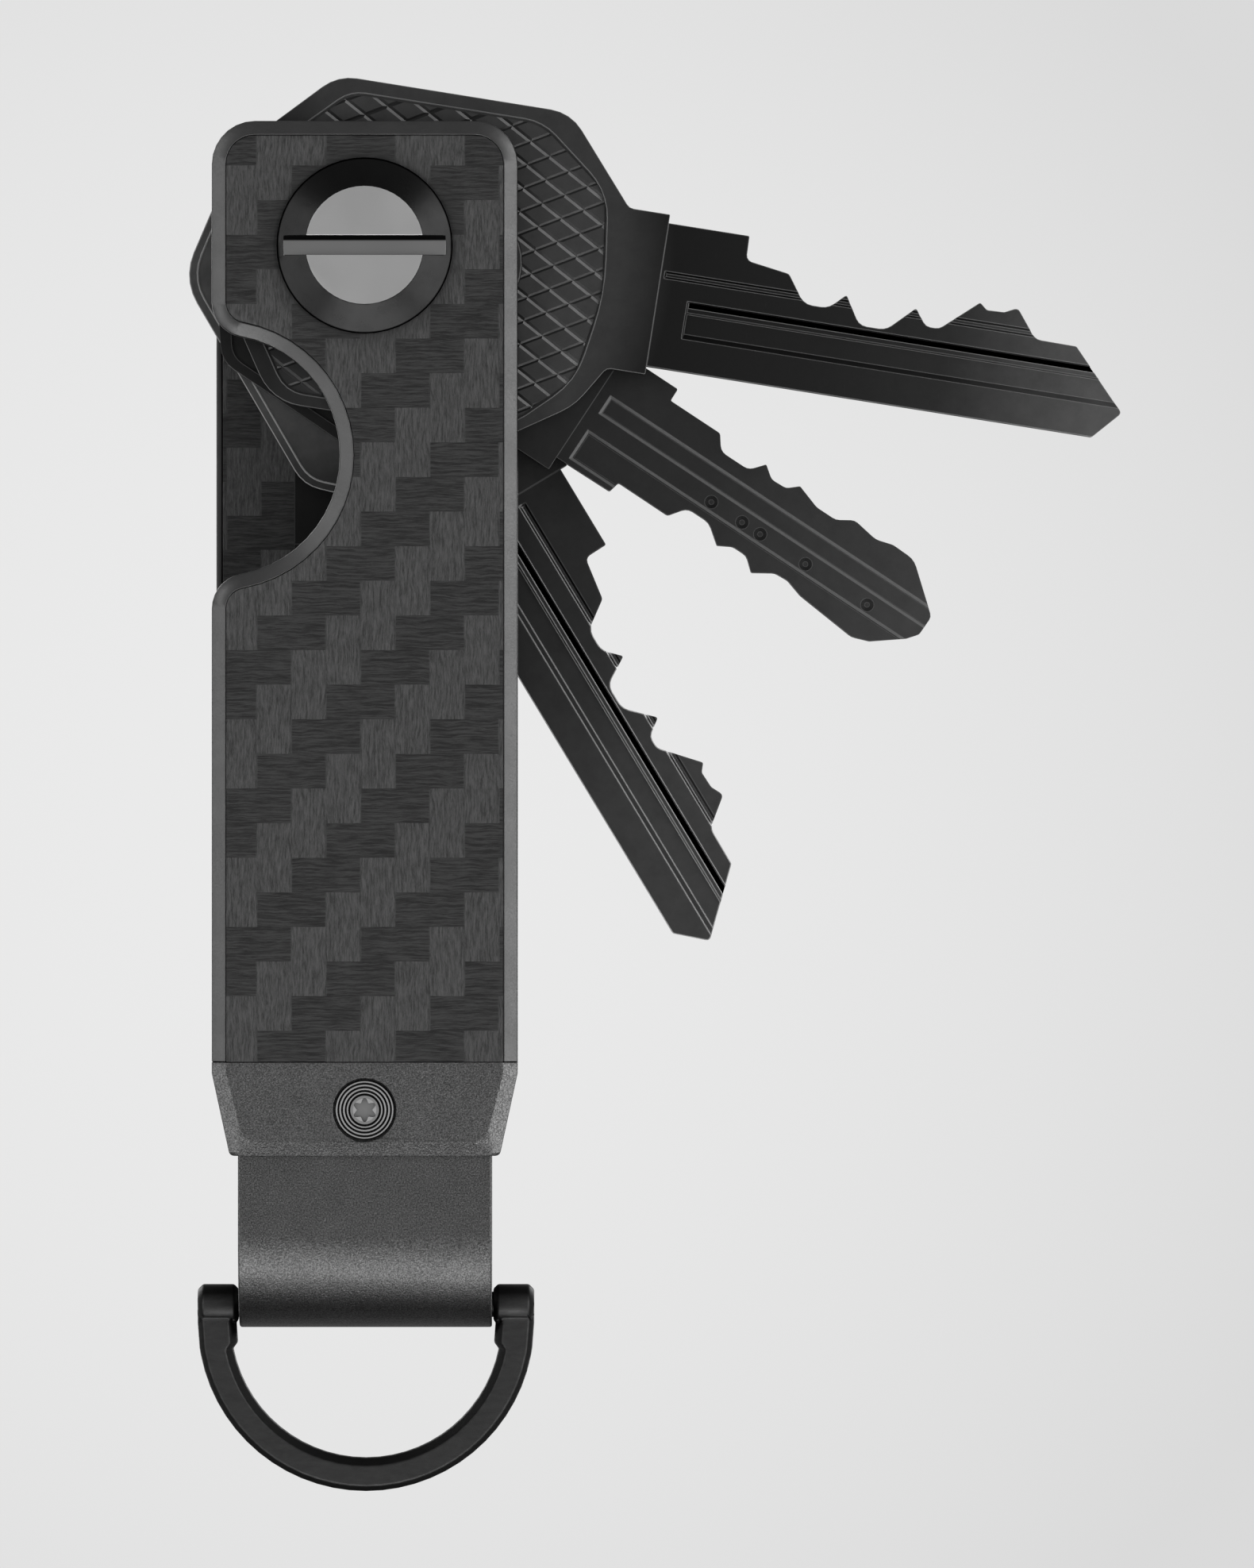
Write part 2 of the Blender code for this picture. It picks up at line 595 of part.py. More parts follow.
def build_keys(collection):
    keys = []
    blade = rounded(shifted(HOUSE_BLADE, BLADE_DROP["key_1"]))
    cutters = groove_cutters(HOUSE_GROOVES, BLADE_DROP["key_1"], collection)
    cutters += recess_cutters(KNURLED_PANEL, stadium(4.5, 7.2), 0.3, collection)
    keys.append(make_key("key_1", rounded(KNURLED_BOW), blade, cutters, collection))

    cutters = groove_cutters(DIMPLE_GROOVES, BLADE_DROP["key_2"], collection)
    cutters += recess_cutters(FRAMED_PANEL, stadium(4.5, 0.5), 0.3, collection)
    face = BLADE_THICKNESS / 2
    floor = face - DIMPLE_DEPTH
    cone = [(DIMPLE_RADIUS, 2), (DIMPLE_RADIUS, face), (DIMPLE_FLOOR_RADIUS, floor)]
    for along in DIMPLES_ALONG:
        dimple = turned("dimple", [(0, 2)] + cone + [(0, floor)], collection, 16)
        dimple.location = (along * MM, DIMPLE_ACROSS * MM, 0)
        cutters.append(dimple)
    blade = rounded(shifted(DIMPLE_BLADE, BLADE_DROP["key_2"]))
    keys.append(make_key("key_2", rounded(FRAMED_BOW), blade, cutters, collection))

    blade = rounded(shifted(HOUSE_BLADE, BLADE_DROP["key_3"]))
    cutters = groove_cutters(HOUSE_GROOVES, BLADE_DROP["key_3"], collection)
    cutters += recess_cutters(PLAIN_PANEL, stadium(4.5, 0.5), 0.15, collection)
    keys.append(make_key("key_3", rounded(PLAIN_BOW), blade, cutters, collection))

    blade = rounded(shifted(HOUSE_BLADE, BLADE_DROP["key_4"]))
    cutters = groove_cutters(HOUSE_GROOVES, BLADE_DROP["key_4"], collection)
    key = make_key("key_4", round_bow(), blade, cutters, collection)
    keys.append(key)
    return keys


def round_bow():
    """A disc that runs into a straight neck."""
    neck = 5.4
    meet = math.asin(neck / ROUND_BOW_RADIUS)
    points = arc((ROUND_BOW_CENTRE, 0), ROUND_BOW_RADIUS, meet, 2 * math.pi - meet)
    return points + [(21.9, -neck), (21.9, neck)]


def face_front(obj):
    """Turns an object modelled in its XY plane upright, with its z towards the front."""
    middle = Matrix.Translation((0, MID_Y * MM, 0))
    obj.matrix_world = middle @ Matrix.Rotation(math.pi / 2, 4, "X") @ obj.matrix_world


def rear_copy(obj, name, collection):
    """A second piece on the same mesh, turned half round the case's long axis."""
    copy = mesh_object(name, obj.data, collection)
    middle = Matrix.Translation((0, MID_Y * MM, 0))
    copy.matrix_world = middle @ Matrix.Rotation(math.pi, 4, "Z") @ middle.inverted() @ obj.matrix_world
    return copy


def layer_centres():
    """Depths of the five washers and the four keys, from the front plate's inner face to the rear one's."""
    washers = []
    keys = []
    depth = -CAVITY_HALF
    for layer in range(9):
        depth += RUNNING_GAP
        thickness = BOW_THICKNESS if layer % 2 else WASHER_THICKNESS
        (keys if layer % 2 else washers).append(depth + thickness / 2)
        depth += thickness + RUNNING_GAP - (RUNNING_GAP if layer < 8 else 0)
    return washers, keys


def place_keys(keys, depths):
    for key, angle, depth in zip(keys, KEY_ANGLES, depths):
        upright = Matrix.Rotation(math.pi / 2, 4, "X")
        turn = Matrix.Rotation(math.radians(angle), 4, "Y")
        key.matrix_world = Matrix.Translation((0, (MID_Y + depth) * MM, 0)) @ turn @ upright


def place_washers(washer, depths, collection):
    names = ("washer_front", "washer_1_2", "washer_2_3", "washer_3_4", "washer_rear")
    washers = [mesh_object(name, washer.data, collection) for name in names]
    bpy.data.objects.remove(washer)
    for piece, depth in zip(washers, depths):
        centre = Matrix.Translation((0, (MID_Y + depth) * MM, 0))
        piece.matrix_world = centre @ Matrix.Rotation(math.pi / 2, 4, "X")
    return washers


def finish(objects, made):
    for obj in objects:
        obj.data.materials.clear()
        obj.data.materials.append(made)
        obj.data.shade_smooth()
        obj.data.set_sharp_from_angle(angle=math.radians(30))


def main():
    clear_scene()
    parts = new_collection("key_organiser")

    rim = build_rim(parts)
    panel = build_panel(parts)
    block = build_end_block(parts)
    strap = build_strap(parts)
    strap_screw = build_strap_screw(parts)
    strap_screw.location.y = STRAP_SCREW_Z * MM
    ring = build_d_ring(parts)
    bar = build_hinge_bar(parts)
    screw = build_pivot_screw(parts)
    post = build_post(parts)
    bpy.context.view_layer.update()
    for obj in (rim, panel, block, strap, strap_screw, ring, bar, screw):
        face_front(obj)
    post.matrix_world = Matrix.Translation((0, MID_Y * MM, 0)) @ Matrix.Rotation(-math.pi / 2, 4, "X")
    bpy.context.view_layer.update()
    rear_rim = rear_copy(rim, "rear_rim", parts)
    rear_panel = rear_copy(panel, "rear_panel", parts)
    rear_strap_screw = rear_copy(strap_screw, "strap_screw_rear", parts)

    washer_depths, key_depths = layer_centres()
    keys = build_keys(parts)
    place_keys(keys, key_depths)
    washers = place_washers(build_washer(parts), washer_depths, parts)

    finish([rim, rear_rim], material("anodised_rim", (0.13, 0.13, 0.135), 0.35, 1.0))
    finish([panel, rear_panel], material("carbon_fibre", (0.035, 0.035, 0.037), 0.45, 0.0))
    finish([block, strap], material("blasted_metal", (0.09, 0.09, 0.093), 0.55, 1.0))
    finish([strap_screw, rear_strap_screw], material("screw_steel", (0.3, 0.3, 0.3), 0.25, 1.0))
    finish([ring, bar], material("black_metal", (0.03, 0.03, 0.032), 0.4, 0.9))
    finish([screw, post], material("satin_steel", (0.28, 0.28, 0.28), 0.2, 1.0))
    finish(keys, material("black_key", (0.03, 0.03, 0.031), 0.4, 0.8))
    finish(washers, material("black_polymer", (0.02, 0.02, 0.02), 0.5, 0.0))


main()
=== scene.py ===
"""Looks of the key organiser: materials, worked surfaces, camera and soft studio light.

Everything is in metres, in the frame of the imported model. Lengths in millimetres are multiplied by MM.
"""

import math

import bmesh
import bpy
from mathutils import Matrix, Vector


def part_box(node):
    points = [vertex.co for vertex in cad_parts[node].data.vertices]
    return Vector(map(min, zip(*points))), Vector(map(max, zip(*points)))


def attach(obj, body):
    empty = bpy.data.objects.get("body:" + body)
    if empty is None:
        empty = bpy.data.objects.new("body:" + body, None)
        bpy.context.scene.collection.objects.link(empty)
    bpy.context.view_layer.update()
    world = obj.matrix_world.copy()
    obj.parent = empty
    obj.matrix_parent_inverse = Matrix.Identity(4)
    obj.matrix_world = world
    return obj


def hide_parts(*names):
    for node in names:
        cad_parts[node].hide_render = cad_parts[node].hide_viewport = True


MM = 0.001

# Camera: square on to the front, far away, as for a catalogue picture.
CAMERA_DISTANCE = 0.9
PICTURE_HEIGHT = 0.1162
SENSOR = 36.0
FRAME_CENTRE = (0.01945, -0.0399)
CAMERA_X = 0.012

# Floor: it gives off some light, so that it stays pale from every side.
FLOOR_GLOW = 0.66
FLOOR_HEIGHT = -0.42
FLOOR_HALF = 3.0

# Soft boxes: name, direction from the case, width, height, power in watts.
LIGHT_TARGET = (0.01, -0.01, -0.035)
LIGHT_DISTANCE = 0.7
LIGHTS = (
    ("right_box", (1.0, -0.95, -0.05), 0.34, 0.9, 3.1),
    ("left_box", (-1.0, -0.95, -0.05), 0.32, 0.9, 1.7),
    ("low_box", (0.0, -1.0, -1.2), 0.7, 0.34, 3.1),
    ("rear_right_box", (1.0, 1.0, 0.25), 0.4, 0.8, 3.0),
    ("rear_left_box", (-1.0, 1.0, 0.25), 0.4, 0.8, 3.0),
)

# Room as the piece sees it: (height from 0 at the bottom to 1 at the top, level).
SURROUND = (
    (0.0, 0.05), (0.1, 0.2), (0.24, 0.3), (0.36, 0.3), (0.48, 0.36),
    (0.62, 0.3), (0.76, 0.22), (0.86, 0.16), (1.0, 0.12),
)

# Backdrop as the camera sees it: bright straight behind the piece, and falling off to dark where the
# squared sideways part of the view direction comes to the reach.
BACKDROP_BRIGHT = 0.825
BACKDROP_DARK = 0.7
BACKDROP_REACH = 0.009
BACKDROP_SHIFT = 0.02

# Carbon weave.
TOW = 2.565
TOW_X = -5.46
TOW_Z = -35.1

# Rings left by the lathe on turned faces.
TURNING_PITCH = 0.09

# Pivot screw: limits just beyond its end face, half its coin slot's width, the slot's floor and the head,
# which tell its faces apart, and the radius beyond which its coat is painted black as shade where the head
# meets the plate.
FACE_LIMIT = 4.5
SLOT_LIMIT = 0.73
FLOOR_LIMIT = 1.0
HEAD_LIMIT = 7.0
BRIM_RADIUS = 6.36

# Head of a strap screw: pale ridges between grooves painted dark as shade, round a six-lobed socket.
RIDGES = 4
RIDGE_START = 1.2
RIDGE_PITCH = 0.275
GROOVE_DEPTH = 0.22
SOCKET_RIM = (0.86, 1.06)
SOCKET_RADIUS = 0.74
SOCKET_LOBE = 0.16
SOCKET_DEPTH = 0.8
LATHE_SEGMENTS = 72

# Knurling on the bow of the first key, in the key's own plane: a field of diamonds round a plain plaque.
KNURL_PITCH = 1.54
KNURL_ANGLE = 29.5
KNURL_SLOPES = (0.2, 0.15)
KNURL_HEIGHT = 0.085
KNURL_BASE = -0.6
KNURL_CELLS = range(-14, 24)
KNURL_REACH = (-11, 21, -15, 15)
KNURL_FIELD = (
    (11.5, 11.1, 3.9), (-2.8, 11.1, 2.6), (-8.1, 5.9, 1.9), (-7.9, -5.5, 1.9), (-4.1, -11.35, 2.5),
    (12.5, -11.35, 3.9), (16.8, -7.3, 3.0), (17.95, -0.7, 4.0), (17.0, 6.8, 3.0),
)
PLAQUE_RADIUS = 4.6
PLAQUE_LENGTH = 7.2
ARC_STEPS = 10
RECESS_FLOOR = 0.8
KEY_1_ANGLE = 9.03

# Keys: tones as (mm from the post, tone), whose rises and dips along each key paint light and shade on it;
# tone of edges with wear and painted highlights, and the settings with which those edges are found.
KEY_3_ANGLE = 58.9
KEY_LOOKS = {
    "key_1": (
        ((14, 0.045), (19, 0.045), (23, 0.006), (36, 0.014), (44, 0.025), (56, 0.11)),
        0.22, (0.11, 0.955),
    ),
    "key_2": (
        ((14, 0.016), (19, 0.024), (30, 0.026), (44, 0.048), (50, 0.06)),
        0.3, (0.09, 0.965, True),
    ),
    "key_3": (
        ((14, 0.1), (17, 0.05), (22, 0.024), (32, 0.03), (46, 0.055), (56, 0.055)),
        0.5, (0.15, 0.985, False, (KEY_3_ANGLE, 0.12)),
    ),
    "key_4": (((14, 0.004), (56, 0.015)), 0.05, (0.11, 0.955)),
}


class Nodes:
    """A node tree under construction: adds nodes and links them."""

    def __init__(self, tree):
        self.tree = tree

    def put(self, socket, value):
        if isinstance(value, bpy.types.NodeSocket):
            self.tree.links.new(value, socket)
        else:
            socket.default_value = value

    def node(self, kind, inputs=(), **settings):
        made = self.tree.nodes.new("ShaderNode" + kind)
        for key, value in settings.items():
            setattr(made, key, value)
        for key, value in dict(inputs).items():
            self.put(made.inputs[key], value)
        return made

    def math(self, operation, *values):
        made = self.node("Math", operation=operation)
        for socket, value in zip(made.inputs, values):
            self.put(socket, value)
        return made.outputs[0]

    def times(self, first, second):
        return self.math("MULTIPLY", first, second)

    def choose(self, factor, first, second):
        """The first value where factor is 1, and the second where it is 0."""
        rest = self.times(self.math("SUBTRACT", 1, factor), second)
        return self.math("ADD", self.times(factor, first), rest)

    def span(self, value, low, high, start=0.0, end=1.0):
        """Maps value from low..high to start..end, clamped."""
        inputs = {"Value": value, "From Min": low, "From Max": high, "To Min": start, "To Max": end}
        return self.node("MapRange", inputs).outputs["Result"]

    def ramp(self, value, stops):
        """A grey that follows stops of (value from 0 to 1, level)."""
        made = self.node("ValToRGB", {"Fac": value})
        elements = made.color_ramp.elements
        for position, _ in stops[1:-1]:
            elements.new(position)
        for element, (position, level) in zip(elements, stops):
            element.position = position
            element.color = (level, level, level, 1)
        return made.outputs["Color"]

    def vector(self, operation, first, second):
        return self.node("VectorMath", {0: first, 1: second}, operation=operation).outputs["Vector"]

    def dot(self, first, second):
        return self.node("VectorMath", {0: first, 1: second}, operation="DOT_PRODUCT").outputs["Value"]

    def axis(self, vector, index):
        """One part of a vector, by its number."""
        return self.node("SeparateXYZ", {0: vector}).outputs[index]


class Shader(Nodes):
    """A material under construction, round its principled shader."""

    def __init__(self, name, colour, roughness, metallic=0.0, **sockets):
        self.material = bpy.data.materials.new(name)
        self.material.use_nodes = True
        super().__init__(self.material.node_tree)
        self.principled = self.tree.nodes["Principled BSDF"]
        self.set("Base Color", (*colour, 1))
        self.set("Roughness", roughness)
        self.set("Metallic", metallic)
        for socket, value in sockets.items():
            self.set(socket.replace("_", " "), value)

    def set(self, name, value):
        self.put(self.principled.inputs[name], value)

    def place(self):
        """The point on the object, in millimetres, as a vector socket."""
        coordinates = self.node("TexCoord").outputs["Object"]
        return self.node("VectorMath", {0: coordinates, "Scale": 1 / MM}, operation="SCALE").outputs[0]

    def normal(self):
        return self.node("TexCoord").outputs["Normal"]

    def stretch(self, vector, scale):
        return self.vector("MULTIPLY", vector, scale)

    def reach(self, vector):
        """Distance from the Y axis."""
        flat = self.stretch(vector, (1, 0, 1))
        return self.node("VectorMath", {0: flat}, operation="LENGTH").outputs["Value"]

    def noise(self, vector, scale, detail=2.0, roughness=0.5):
        inputs = {"Vector": vector, "Scale": scale, "Detail": detail, "Roughness": roughness}
        return self.node("TexNoise", inputs).outputs["Fac"]

    def mix(self, factor, first, second):
        made = self.node("Mix", data_type="RGBA")
        self.put(made.inputs["Factor"], factor)
        self.put(made.inputs["A"], first)
        self.put(made.inputs["B"], second)
        return made.outputs["Result"]

    def grey(self, value):
        return self.node("CombineColor", {0: value, 1: value, 2: value}).outputs[0]

    def edges(self, radius, sharp=0.955):
        """1 near an edge of the piece, 0 on its open faces. A higher sharp brings out shallow edges."""
        rounded_normal = self.node("Bevel", {"Radius": radius * MM}, samples=8).outputs[0]
        true_normal = self.node("NewGeometry").outputs["True Normal"]
        return self.span(self.dot(rounded_normal, true_normal), 0.9985, sharp)

    def facing(self):
        """How squarely a face looks to the front or rear: 1 if flat, 0 if at right angles."""
        return self.math("ABSOLUTE", self.axis(self.normal(), 1))

    def slanted(self, facing, flattest, fade=0.03):
        """1 on chamfers and slanted walls, 0 on straight sides and on faces flatter than flattest."""
        return self.times(self.span(facing, 0.25, 0.4), self.span(facing, flattest, flattest - fade))

    def bump(self, height, strength, distance):
        inputs = {"Height": height, "Strength": strength, "Distance": distance * MM}
        self.set("Normal", self.node("Bump", inputs).outputs[0])


def carbon_material():
    """2/2 twill: dark floats run across, lighter ones run down, each row one tow left of the one above. A
    painted shadow darkens it round the pivot screw's head.
    """
    made = Shader("carbon_twill", (0.03, 0.03, 0.03), 0.5, Specular_IOR_Level=0.45)
    place = made.place()
    across = made.math("DIVIDE", made.math("SUBTRACT", made.axis(place, 0), TOW_X), TOW)
    down = made.math("DIVIDE", made.math("SUBTRACT", TOW_Z, made.axis(place, 2)), TOW)
    row = made.math("FLOOR", down)
    turn = made.math("FRACT", made.math("DIVIDE", made.math("ADD", across, row), 4))
    upright = made.math("MAXIMUM", made.span(turn, 0.493, 0.507), made.span(turn, 0.0, 0.012, 1.0, 0.0))
    row_edge = made.math("ABSOLUTE", made.math("SUBTRACT", made.math("FRACT", down), 0.5))
    column_edge = made.math("ABSOLUTE", made.math("SUBTRACT", made.math("FRACT", across), 0.5))

    sway = made.node("TexNoise", {"Vector": place, "Scale": 0.5, "Detail": 1.0}).outputs["Color"]
    fibre_place = made.vector("ADD", place, made.stretch(sway, (0.35, 0, 0.35)))
    weft_fibres = made.noise(made.stretch(fibre_place, (0.42, 1, 6.6)), 1.0, 4.0, 0.8)
    warp_fibres = made.noise(made.stretch(fibre_place, (7.0, 1, 0.9)), 1.0, 4.0, 0.8)
    weft_tone = made.span(weft_fibres, 0.4, 0.6, 0.003, 0.036)
    warp_tone = made.span(warp_fibres, 0.36, 0.64, 0.018, 0.08)
    dark = made.grey(made.times(weft_tone, made.span(row_edge, 0.44, 0.5, 1.0, 0.75)))
    light = made.grey(made.times(warp_tone, made.span(column_edge, 0.45, 0.5, 1.0, 0.86)))
    # Painted shadow: darkened towards black in a ring round the pivot screw's head.
    head_shadow = made.span(made.reach(place), 6.5, 7.9, 0.45, 1.0)
    made.set("Base Color", made.mix(head_shadow, (0.008, 0.008, 0.008, 1), made.mix(upright, dark, light)))

    fibres = made.choose(upright, warp_fibres, weft_fibres)
    made.set("Roughness", made.span(fibres, 0.3, 0.7, 0.6, 0.45))
    weft_crown = made.span(row_edge, 0.3, 0.5, 1.0, 0.0)
    warp_crown = made.span(column_edge, 0.3, 0.5, 1.0, 0.3)
    crown = made.choose(upright, warp_crown, weft_crown)
    made.bump(made.math("ADD", made.times(crown, 0.4), fibres), 0.35, 0.04)
    return made.material


def anodised_material():
    """The rims: fine satin grain, with painted light that makes them brighter where they face up."""
    made = Shader("anodised_rim", (0.09, 0.09, 0.091), 0.38, 1.0)
    place = made.place()
    grain = made.noise(place, 9.0, 3.0, 0.6)
    cloud = made.noise(place, 0.35, 2.0)
    # Painted light: faces that turn upwards get up to 2.1 times the tone.
    lightened = made.span(made.axis(made.normal(), 2), 0.1, 0.5, 1.0, 2.1)
    made.set("Base Color", made.grey(made.times(made.span(cloud, 0.3, 0.7, 0.083, 0.096), lightened)))
    made.set("Roughness", made.span(grain, 0.3, 0.7, 0.34, 0.46))
    made.bump(grain, 0.12, 0.02)
    return made.material


def blasted_material(name, tone, roughness, below=1.0):
    """Bead-blasted metal: a dense grain of small sparkles, with painted shade that darkens it by a factor
    where it faces down.
    """
    made = Shader(name, (tone, tone, tone), 0.5, 1.0)
    place = made.place()
    grain = made.noise(place, 6.0, 3.0, 0.7)
    fine = made.noise(place, 9.0, 1.0)
    cloud = made.noise(place, 0.4, 2.0)
    base = made.span(cloud, 0.3, 0.7, tone * 0.93, tone * 1.06)
    speck = made.span(fine, 0.32, 0.72, 0.62, 1.6)
    # Painted shade on faces that turn downwards.
    if below < 1:
        base = made.times(base, made.span(made.axis(made.normal(), 2), -0.2, -0.14, below, 1.0))
    made.set("Base Color", made.grey(made.times(base, speck)))
    made.set("Roughness", made.span(grain, 0.3, 0.7, roughness * 0.87, roughness * 1.13))
    made.bump(made.math("ADD", grain, made.times(fine, 0.6)), 0.5, 0.06)
    return made.material


def worn_and_highlit_parts(made, place, facing, depth, radius, sharp, walls=False, limit=None):
    """1 where the coat is lightened: on edges, for wear and a painted highlight, or with walls on the upper
    part of slanted walls, as a painted highlight.

    A limit (angle, high) keeps it below a line along the blade of a key at that angle."""
    lightened = made.edges(radius, sharp)
    if walls:
        band = made.times(made.slanted(facing, 0.66), made.span(depth, 0.72, 0.78))
        lightened = made.math("MAXIMUM", made.times(lightened, 0.35), band)
    if limit:
        angle, high = math.radians(limit[0]), limit[1]
        across = made.dot(place, (math.sin(angle), 0, math.cos(angle)))
        lightened = made.times(lightened, made.span(across, high, high + 0.08, 1.0, 0.15))
    return lightened


def coated_material(
    name, stops, roughness, scratches=0.0, edge_tone=0.0, wear_and_highlight=None, middle=0.0, brim=None, shade=1.0
):
    """Black coating on metal, mottled and finely grained: stops are (mm from the post, tone); where they
    change along a key, they paint light and shade on it.

    Given settings for edges, the edges with wear and painted highlights get edge_tone, and floors near the
    middle of the thickness stay black as painted shade.
    Beyond the brim it is painted black too, as shade where the head meets the plate. A shade under 1
    darkens the left side with painted shade."""
    made = Shader(name, (0.02, 0.02, 0.02), roughness, 0.55, Specular_IOR_Level=0.5)
    place = made.place()
    mottle = made.noise(place, 0.55, 4.0, 0.6)
    grain = made.noise(place, 14.0, 2.0)
    marks = made.noise(made.stretch(place, (7, 7, 0.9)), 1.4, 4.0, 0.75)
    reach = made.reach(place)
    # Painted light and shade: the tone follows the stops along the piece.
    tone = made.ramp(made.math("DIVIDE", reach, 100), [(radius / 100, level) for radius, level in stops])
    base = made.times(tone, made.span(mottle, 0.25, 0.75, 0.78, 1.28))
    base = made.math("ADD", base, made.span(marks, 0.62, 0.78, 0.0, scratches))
    # Painted shade on the left side.
    if shade < 1:
        base = made.times(base, made.span(made.axis(place, 0), -7, -3, shade, 1.0))
    if wear_and_highlight:
        facing = made.facing()
        depth = made.math("ABSOLUTE", made.math("SUBTRACT", made.axis(place, 1), middle))
        lightened_part = worn_and_highlit_parts(made, place, facing, depth, *wear_and_highlight)
        # Edges with wear and painted highlights take edge_tone, broken up by the marks.
        chipped_and_lit = made.times(lightened_part, made.span(marks, 0.3, 0.6, 0.75, 1.0))
        base = made.math("ADD", base, made.times(chipped_and_lit, edge_tone))
        # Painted shade: floors near the middle of the thickness that face front or rear go black and lose
        # their reflection.
        unshaded = made.math("MAXIMUM", made.span(depth, 0.45, 0.5), made.span(facing, 0.9, 0.8))
        base = made.times(base, unshaded)
        made.set("Specular IOR Level", made.times(unshaded, 0.5))
    if brim is not None:
        # Painted shade: black, with less reflection, beyond the brim where the head meets the plate.
        unshaded = made.span(reach, brim, brim + 0.08, 1.0, 0.0)
        base = made.times(base, unshaded)
        made.set("Specular IOR Level", made.times(unshaded, 0.36))
    made.set("Base Color", made.grey(base))
    made.set("Roughness", made.span(mottle, 0.3, 0.7, roughness * 1.12, roughness * 0.88))
    made.bump(grain, 0.1, 0.03)
    return made.material


def plain_coat(name, tone, roughness, **settings):
    """The black coating in one tone from end to end."""
    return coated_material(name, ((0, tone), (60, tone)), roughness, **settings)


def ring_material():
    """The ring's black coat: satin faces, with chamfers painted darker and with a weaker reflection as
    shade.
    """
    made = Shader("black_ring", (0.03, 0.03, 0.03), 0.46, 0.55, Specular_IOR_Level=0.45)
    place = made.place()
    mottle = made.noise(made.stretch(place, (1, 1, 2.5)), 0.9, 4.0, 0.65)
    grain = made.noise(place, 12.0, 2.0)
    # Painted shade: chamfers get a darker tone and a weaker reflection.
    chamfer = made.slanted(made.facing(), 0.995, 0.195)
    tone = made.times(made.span(mottle, 0.3, 0.7, 0.03, 0.05), made.span(chamfer, 0.0, 1.0, 1.0, 0.3))
    made.set("Specular IOR Level", made.span(chamfer, 0.0, 1.0, 0.5, 0.3))
    made.set("Base Color", made.grey(tone))
    made.set("Roughness", made.span(mottle, 0.3, 0.7, 0.5, 0.4))
    made.bump(grain, 0.2, 0.03)
    return made.material


def turned_material(name, tone, roughness, centre, shadow_above=None, edge_highlight=0.0):
    """Lathe-turned steel with fine rings about an axis along Y; if asked, a painted highlight brightens it
    near edges and a painted shadow blackens it above a height.
    """
    made = Shader(name, (tone, tone, tone), roughness, 1.0)
    place = made.place()
    reach = made.reach(made.vector("SUBTRACT", place, centre))
    rings = made.math("SINE", made.times(reach, 2 * math.pi / TURNING_PITCH))
    cloud = made.noise(place, 0.3, 1.0)
    level = made.span(cloud, 0.3, 0.7, tone * 0.985, tone * 1.015)
    # Painted highlight: brighter near the edges.
    if edge_highlight:
        level = made.times(level, made.span(made.edges(0.1), 0.0, 1.0, 1.0, 1.0 + edge_highlight))
    # Painted shadow: black above the given height.
    if shadow_above is not None:
        height = made.axis(place, 2)
        level = made.times(level, made.span(height, shadow_above - 0.06, shadow_above + 0.06, 1.0, 0.02))
    made.set("Base Color", made.grey(level))
    made.set("Roughness", made.span(cloud, 0.3, 0.7, roughness * 0.97, roughness * 1.03))
    made.bump(rings, 0.05, 0.003)
    return made.material


def polymer_material():
    """The washers: dull black plastic with a light grain."""
    made = Shader("black_polymer", (0.015, 0.015, 0.015), 0.5)
    grain = made.noise(made.place(), 8.0, 3.0)
    made.set("Roughness", made.span(grain, 0.3, 0.7, 0.45, 0.6))
    made.bump(grain, 0.15, 0.02)
    return made.material


def wear(obj, *materials):
    """Gives an object its finished materials in place of the plain ones."""
    obj.data.materials.clear()
    for made in materials:
        obj.data.materials.append(made)


def soften(obj, width, segments=2, angle=28):
    """Small rounded edges on a piece of the frame, whose own mesh stays as it is."""
    attribute = obj.data.attributes.get("custom_normal")
    if attribute:
        obj.data.attributes.remove(attribute)
    obj.data.shade_smooth()
    weld = obj.modifiers.new("weld", "WELD")
    weld.merge_threshold = 0.000001
    edge = obj.modifiers.new("edge", "BEVEL")
    edge.width = width * MM
    edge.segments = segments
    edge.limit_method = "ANGLE"
    edge.angle_limit = math.radians(angle)
    edge.use_clamp_overlap = False
    edge.miter_outer = "MITER_ARC"
    normals = obj.modifiers.new("normals", "WEIGHTED_NORMAL")
    normals.mode = "FACE_AREA"


def rounded(corners):
    """Points of a polygon whose corners (x, y, radius) are rounded by arcs."""
    points = []
    count = len(corners)
    for i, (x, y, radius) in enumerate(corners):
        here = Vector((x, y))
        before = (Vector(corners[i - 1][:2]) - here).normalized()
        after = (Vector(corners[(i + 1) % count][:2]) - here).normalized()
        opening = before.angle(after)
        centre = here + (before + after).normalized() * (radius / math.sin(opening / 2))
        first = here + before * (radius / math.tan(opening / 2)) - centre
        turn = math.pi - opening
        if first.x * after.y - first.y * after.x < 0:
            turn = -turn
        for step in range(ARC_STEPS + 1):
            angle = math.atan2(first.y, first.x) + turn * step / ARC_STEPS
            points.append((centre.x + radius * math.cos(angle), centre.y + radius * math.sin(angle)))
    return points


def finished_shape(name, shape):
    """Turns a bmesh into an object of the scene."""
    mesh = bpy.data.meshes.new(name)
    shape.to_mesh(mesh)
    shape.free()
    obj = bpy.data.objects.new(name, mesh)
    bpy.context.collection.objects.link(obj)
    return obj


